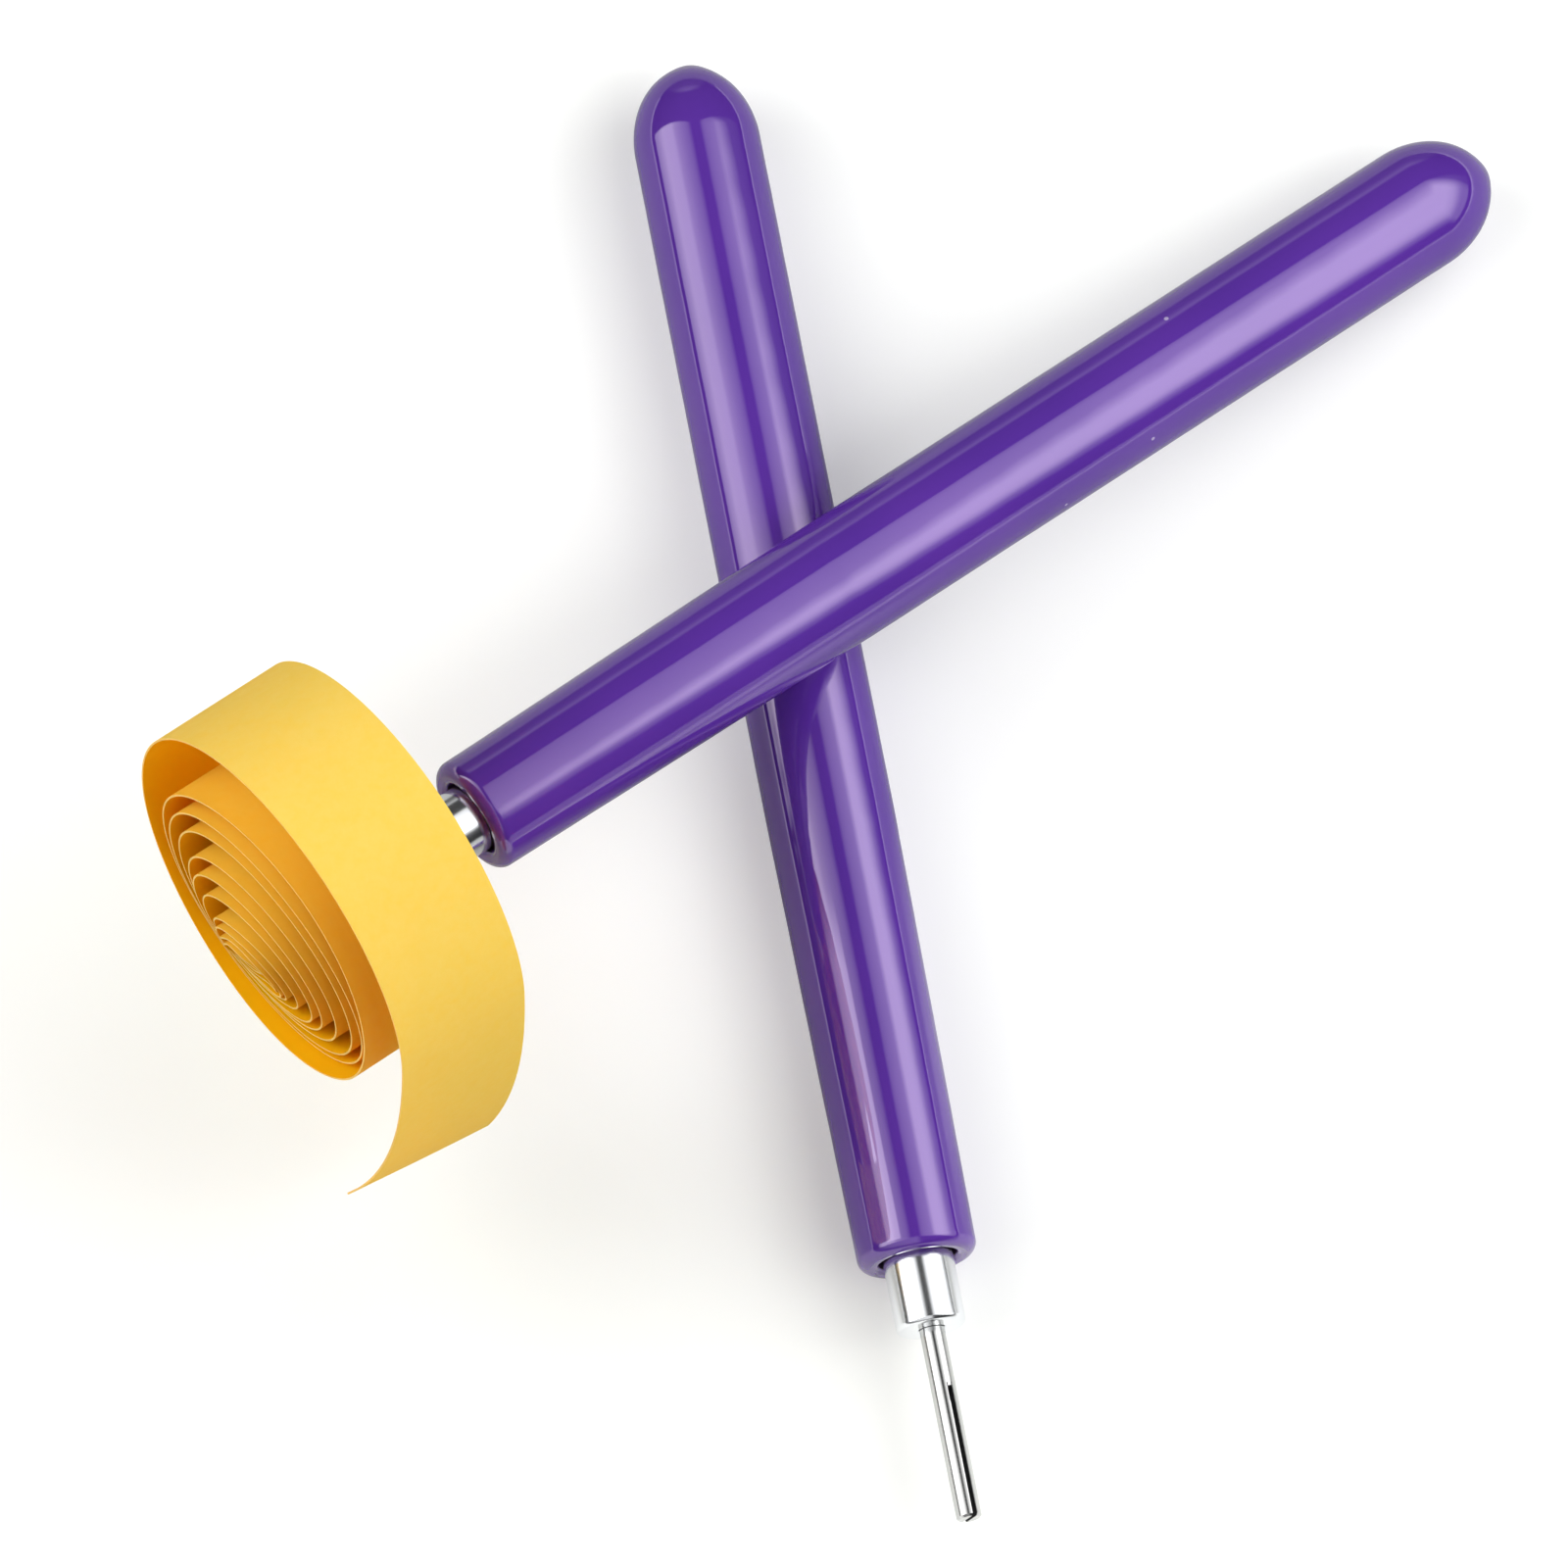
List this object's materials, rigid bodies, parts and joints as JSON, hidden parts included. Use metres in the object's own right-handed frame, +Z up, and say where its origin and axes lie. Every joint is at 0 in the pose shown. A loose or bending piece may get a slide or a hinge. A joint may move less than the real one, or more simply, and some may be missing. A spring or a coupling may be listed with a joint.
{
  "type": "quilling tool set",
  "caption": "Crossed slotted quilling tools: glossy purple sleeve grips, chromed ferrules, slotted steel pins, and a yellow paper strip rolled on the upper pin.",
  "frame": {"origin": "centre of the set's footprint, on the surface that it lies on", "axes": "+Z up; the lower tool lies along Y with its slotted pin towards -Y; the upper tool crosses over it, its pin and the paper strip towards -X"},
  "size_m": [0.1034, 0.11, 0.0463],
  "materials": {
    "purple_vinyl": "smooth, high gloss",
    "core_aluminium": "plain turned rod",
    "chrome_plate": "bright mirror plating",
    "polished_steel": "polished wire",
    "yellow_paper": "matt, fine fibre"
  },
  "bodies": {
    "lower_tool": {"lower_grip_sleeve": "purple_vinyl", "lower_core_rod": "core_aluminium", "lower_ferrule": "chrome_plate", "lower_slotted_pin": "polished_steel"},
    "upper_tool": {"upper_grip_sleeve": "purple_vinyl", "upper_core_rod": "core_aluminium", "upper_ferrule": "chrome_plate", "upper_slotted_pin": "polished_steel"},
    "rolled_strip": {"paper_strip": "yellow_paper"}
  },
  "joints": [
    {"name": "upper_tool_lift", "type": "slide", "parent": "lower_tool", "child": "upper_tool", "axis": [0, 0, 1], "range_m": [0, 0.05]},
    {"name": "strip_pull_off", "type": "slide", "parent": "upper_tool", "child": "rolled_strip", "axis": [-0.8854, -0.4357, 0.1622], "range_m": [0, 0.02]}
  ]
}
